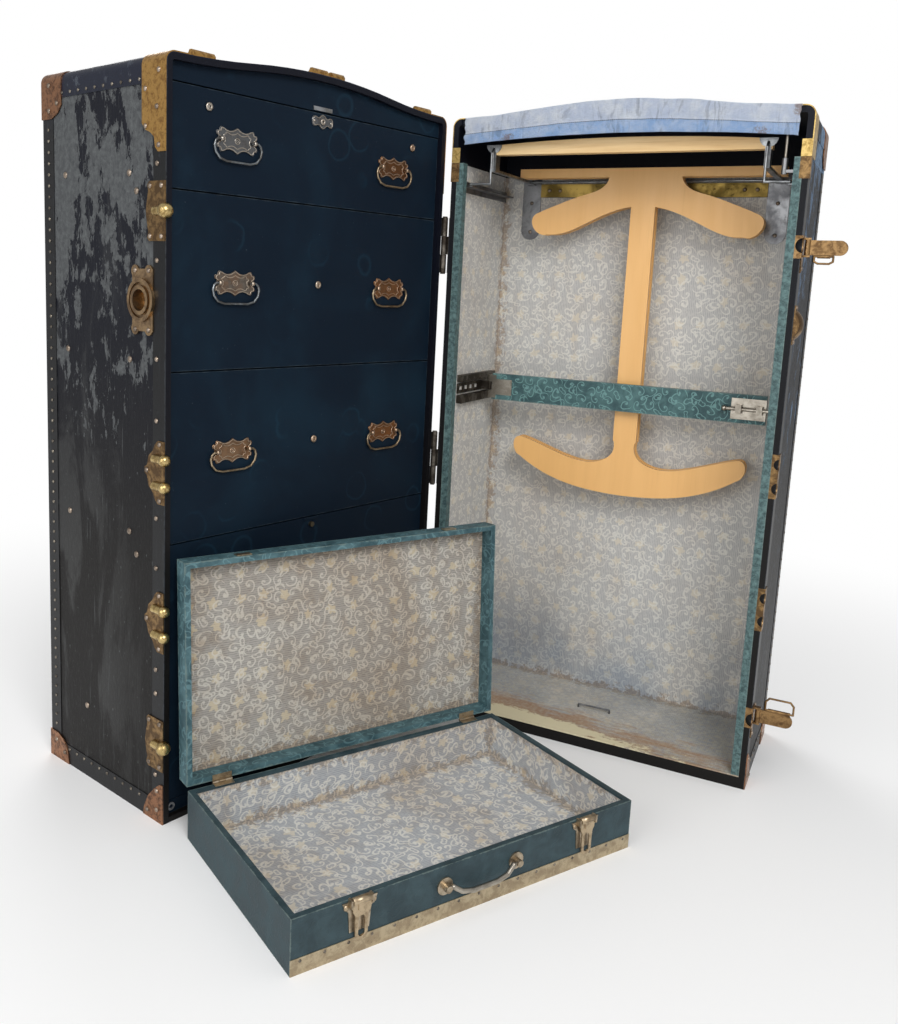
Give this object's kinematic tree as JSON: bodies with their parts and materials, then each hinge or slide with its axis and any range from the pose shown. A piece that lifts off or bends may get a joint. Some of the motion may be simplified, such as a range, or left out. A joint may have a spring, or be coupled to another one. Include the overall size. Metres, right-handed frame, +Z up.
{
  "type": "wardrobe trunk",
  "caption": "Upright wardrobe trunk in two hinged halves, drawers in one and a hanging trolley in the other, with its shallow fitted case",
  "frame": {"origin": "centre of the bottom face of the half with the drawers", "axes": "+X to the right along that half's rim, +Y from the rim to its back, +Z up"},
  "size_m": [0.9912, 0.8864, 1.0424],
  "materials": {
    "covering": "worn black coated cloth over plywood",
    "fibre": "black vulcanised fibre binding",
    "brass": "tarnished brass-plated sheet",
    "knob_brass": "polished worn brass",
    "teal_cloth": "dark teal embossed book cloth",
    "front_cloth": "dark blue-green coated cloth over plywood",
    "paper": "lining paper with a scroll pattern",
    "wood": "varnished birch",
    "plywood": "varnished plywood",
    "inner_wood": "plain unfinished plywood",
    "nickel": "dull nickel plate",
    "antique": "antique nickel-brass plate",
    "blue_cloth": "faded light blue cotton",
    "steel": "dull steel"
  },
  "bodies": {
    "root": {"drawer_half_shell": "covering", "drawer_half_binding": "fibre", "drawer_half_corners": "brass", "knob_plates": "brass", "guide_knobs": "knob_brass", "lock_socket": "brass", "front_rails": "front_cloth", "cabinet_frame": "inner_wood", "strike_plates": "antique", "hinge_leaves_fixed": "steel", "hinge_pins": "steel"},
    "drawer_1": {"drawer_1_box": "inner_wood", "drawer_1_front": "front_cloth", "drawer_1_fittings": "antique"},
    "drawer_1_bail_left": {"drawer_1_bail_left": "antique"},
    "drawer_1_bail_right": {"drawer_1_bail_right": "antique"},
    "drawer_2": {"drawer_2_box": "inner_wood", "drawer_2_front": "front_cloth", "drawer_2_fittings": "antique"},
    "drawer_2_bail_left": {"drawer_2_bail_left": "antique"},
    "drawer_2_bail_right": {"drawer_2_bail_right": "antique"},
    "drawer_3": {"drawer_3_box": "inner_wood", "drawer_3_front": "front_cloth", "drawer_3_fittings": "antique"},
    "drawer_3_bail_left": {"drawer_3_bail_left": "antique"},
    "drawer_3_bail_right": {"drawer_3_bail_right": "antique"},
    "bottom_panel": {"bottom_front_panel": "front_cloth"},
    "bottom_catch": {"bottom_catch": "antique"},
    "hanger_half": {"hanger_half_shell": "covering", "hanger_half_binding": "fibre", "hanger_half_corners": "brass", "hanger_half_lining": "paper", "rim_frame": "teal_cloth", "hinge_leaves_swing": "steel", "notch_plates": "brass", "draw_bolt_bases": "brass", "trolley_tracks": "nickel", "back_rail": "knob_brass", "bar_brackets": "nickel"},
    "lift_top": {"lift_top_shell": "covering", "lift_top_fittings": "brass", "curtain": "blue_cloth"},
    "trolley": {"trolley_bar": "wood", "trolley_carriage": "nickel"},
    "hanger_1": {"hanger_1": "plywood"},
    "hanger_2": {"hanger_2": "plywood"},
    "retaining_bar": {"retaining_bar": "teal_cloth", "bar_fittings": "nickel"},
    "bar_bolt": {"bar_bolt": "nickel"},
    "lower_draw_lever": {"lower_draw_lever": "brass"},
    "lower_draw_ring": {"lower_draw_ring": "brass"},
    "upper_draw_lever": {"upper_draw_lever": "brass"},
    "upper_draw_ring": {"upper_draw_ring": "brass"},
    "case_base": {"case_base_shell": "teal_cloth", "case_base_fittings": "nickel"},
    "case_lid": {"case_lid_shell": "teal_cloth", "case_lid_fittings": "nickel"},
    "case_handle": {"case_handle": "nickel"},
    "case_latch_left": {"case_latch_left": "nickel"},
    "case_latch_right": {"case_latch_right": "nickel"}
  },
  "joints": [
    {"name": "trunk_hinge", "type": "hinge", "parent": "root", "child": "hanger_half", "pos_m": [0.2815, -0.145, 0], "axis": [0, 0, 1], "range_deg": [-103.58, 0]},
    {"name": "case_slide", "type": "slide", "parent": "root", "child": "case_base", "axis": [-0.8192, -0.5736, 0], "range_m": [0, 0.9]},
    {"name": "drawer_1_slide", "type": "slide", "parent": "root", "child": "drawer_1", "axis": [0, -1, 0], "range_m": [0, 0.18]},
    {"name": "drawer_1_bail_left_swing", "type": "hinge", "parent": "drawer_1", "child": "drawer_1_bail_left", "pos_m": [-0.156, -0.1404, 0.925], "axis": [-1, 0, 0], "range_deg": [0, 85]},
    {"name": "drawer_1_bail_right_swing", "type": "hinge", "parent": "drawer_1", "child": "drawer_1_bail_right", "pos_m": [0.156, -0.1404, 0.925], "axis": [-1, 0, 0], "range_deg": [0, 85]},
    {"name": "drawer_2_slide", "type": "slide", "parent": "root", "child": "drawer_2", "axis": [0, -1, 0], "range_m": [0, 0.18]},
    {"name": "drawer_2_bail_left_swing", "type": "hinge", "parent": "drawer_2", "child": "drawer_2_bail_left", "pos_m": [-0.156, -0.1404, 0.74], "axis": [-1, 0, 0], "range_deg": [0, 85]},
    {"name": "drawer_2_bail_right_swing", "type": "hinge", "parent": "drawer_2", "child": "drawer_2_bail_right", "pos_m": [0.156, -0.1404, 0.74], "axis": [-1, 0, 0], "range_deg": [0, 85]},
    {"name": "drawer_3_slide", "type": "slide", "parent": "root", "child": "drawer_3", "axis": [0, -1, 0], "range_m": [0, 0.18]},
    {"name": "drawer_3_bail_left_swing", "type": "hinge", "parent": "drawer_3", "child": "drawer_3_bail_left", "pos_m": [-0.156, -0.1404, 0.511], "axis": [-1, 0, 0], "range_deg": [0, 85]},
    {"name": "drawer_3_bail_right_swing", "type": "hinge", "parent": "drawer_3", "child": "drawer_3_bail_right", "pos_m": [0.156, -0.1404, 0.511], "axis": [-1, 0, 0], "range_deg": [0, 85]},
    {"name": "bottom_panel_tilt", "type": "hinge", "parent": "root", "child": "bottom_panel", "pos_m": [0, -0.131, 0.034], "axis": [1, 0, 0], "range_deg": [0, 1.2]},
    {"name": "bottom_catch_press", "type": "slide", "parent": "bottom_panel", "child": "bottom_catch", "axis": [0, 1, 0], "range_m": [0, 0.0025], "stiffness_N_per_m": 200},
    {"name": "lift_top_hinge", "type": "hinge", "parent": "hanger_half", "child": "lift_top", "pos_m": [0.5736, -0.36404, 0.9482], "axis": [-0.2348, 0.972, 0], "range_deg": [0, 95]},
    {"name": "trolley_slide", "type": "slide", "parent": "hanger_half", "child": "trolley", "axis": [-0.972, -0.2348, 0], "range_m": [0, 0.045]},
    {"name": "hanger_1_slide", "type": "slide", "parent": "trolley", "child": "hanger_1", "axis": [-0.972, -0.2348, 0], "range_m": [0, 0.038]},
    {"name": "hanger_2_slide", "type": "slide", "parent": "trolley", "child": "hanger_2", "axis": [-0.972, -0.2348, 0], "range_m": [0, 0.024]},
    {"name": "retaining_bar_swing", "type": "hinge", "parent": "hanger_half", "child": "retaining_bar", "pos_m": [0.43405, -0.14622, 0.5725], "axis": [0, 0, -1], "range_deg": [0, 47]},
    {"name": "bar_bolt_slide", "type": "slide", "parent": "retaining_bar", "child": "bar_bolt", "axis": [0.2348, -0.972, 0], "range_m": [0, 0.0075]},
    {"name": "lower_draw_lever_turn", "type": "hinge", "parent": "hanger_half", "child": "lower_draw_lever", "pos_m": [0.43096, -0.68706, 0.117], "axis": [0, 0, 1], "range_deg": [-20, 80]},
    {"name": "lower_draw_ring_turn", "type": "hinge", "parent": "lower_draw_lever", "child": "lower_draw_ring", "pos_m": [0.438, -0.71622, 0.129], "axis": [0.2348, -0.972, 0], "range_deg": [0, 60]},
    {"name": "upper_draw_lever_turn", "type": "hinge", "parent": "hanger_half", "child": "upper_draw_lever", "pos_m": [0.43096, -0.68706, 0.824], "axis": [0, 0, 1], "range_deg": [-20, 80]},
    {"name": "upper_draw_ring_turn", "type": "hinge", "parent": "upper_draw_lever", "child": "upper_draw_ring", "pos_m": [0.43624, -0.70893, 0.812], "axis": [-0.2348, 0.972, 0], "range_deg": [0, 60]},
    {"name": "case_lid_hinge", "type": "hinge", "parent": "case_base", "child": "case_lid", "pos_m": [-0.02165, -0.26318, 0.0698], "axis": [0.9606, -0.278, 0], "range_deg": [0, 93]},
    {"name": "case_handle_swing", "type": "hinge", "parent": "case_base", "child": "case_handle", "pos_m": [-0.10936, -0.56624, 0.043], "axis": [-0.9606, 0.278, 0], "range_deg": [0, 100]},
    {"name": "case_latch_left_turn", "type": "hinge", "parent": "case_base", "child": "case_latch_left", "pos_m": [-0.27368, -0.51713, 0.0685], "axis": [-0.9606, 0.278, 0], "range_deg": [0, 85]},
    {"name": "case_latch_right_turn", "type": "hinge", "parent": "case_base", "child": "case_latch_right", "pos_m": [0.0558, -0.61248, 0.0685], "axis": [-0.9606, 0.278, 0], "range_deg": [0, 85]}
  ],
  "couplings": [
    {"joint": "case_slide", "follows": "trunk_hinge", "m_per_rad": -0.487},
    {"joint": "hanger_1_slide", "follows": "trolley_slide", "ratio": 0.8},
    {"joint": "hanger_2_slide", "follows": "trolley_slide", "ratio": 0.5},
    {"joint": "retaining_bar_swing", "follows": "trolley_slide", "rad_per_m": 17.453}
  ]
}
